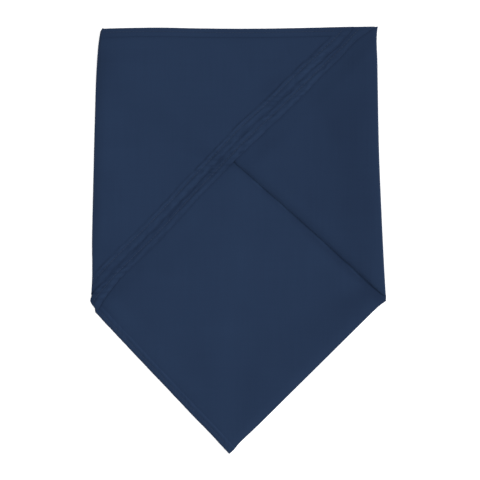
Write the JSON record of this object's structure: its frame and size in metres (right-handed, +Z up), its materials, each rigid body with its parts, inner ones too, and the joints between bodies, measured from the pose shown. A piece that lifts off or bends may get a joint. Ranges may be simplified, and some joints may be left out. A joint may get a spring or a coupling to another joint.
{
  "type": "folded bandana",
  "caption": "Plain hemmed navy bandana, folded flat in half and then with both tips folded in, so that it lies as a pointed panel with a diagonal hem across it.",
  "frame": {"origin": "middle of the bundle's underside, on the surface that it lies on", "axes": "+Z up, out of the face that shows; +Y along the folded cloth, from its point to its hemmed top edge; +X to the right as seen from above with the point at the bottom"},
  "size_m": [0.2451, 0.3538, 0.0061],
  "materials": {
    "navy_poplin": "matte plain-weave cotton, hems topstitched in navy thread"
  },
  "bodies": {
    "root": {"folded_base": "navy_poplin", "right_flap": "navy_poplin", "left_flap_under": "navy_poplin", "left_flap_top": "navy_poplin"}
  },
  "joints": []
}
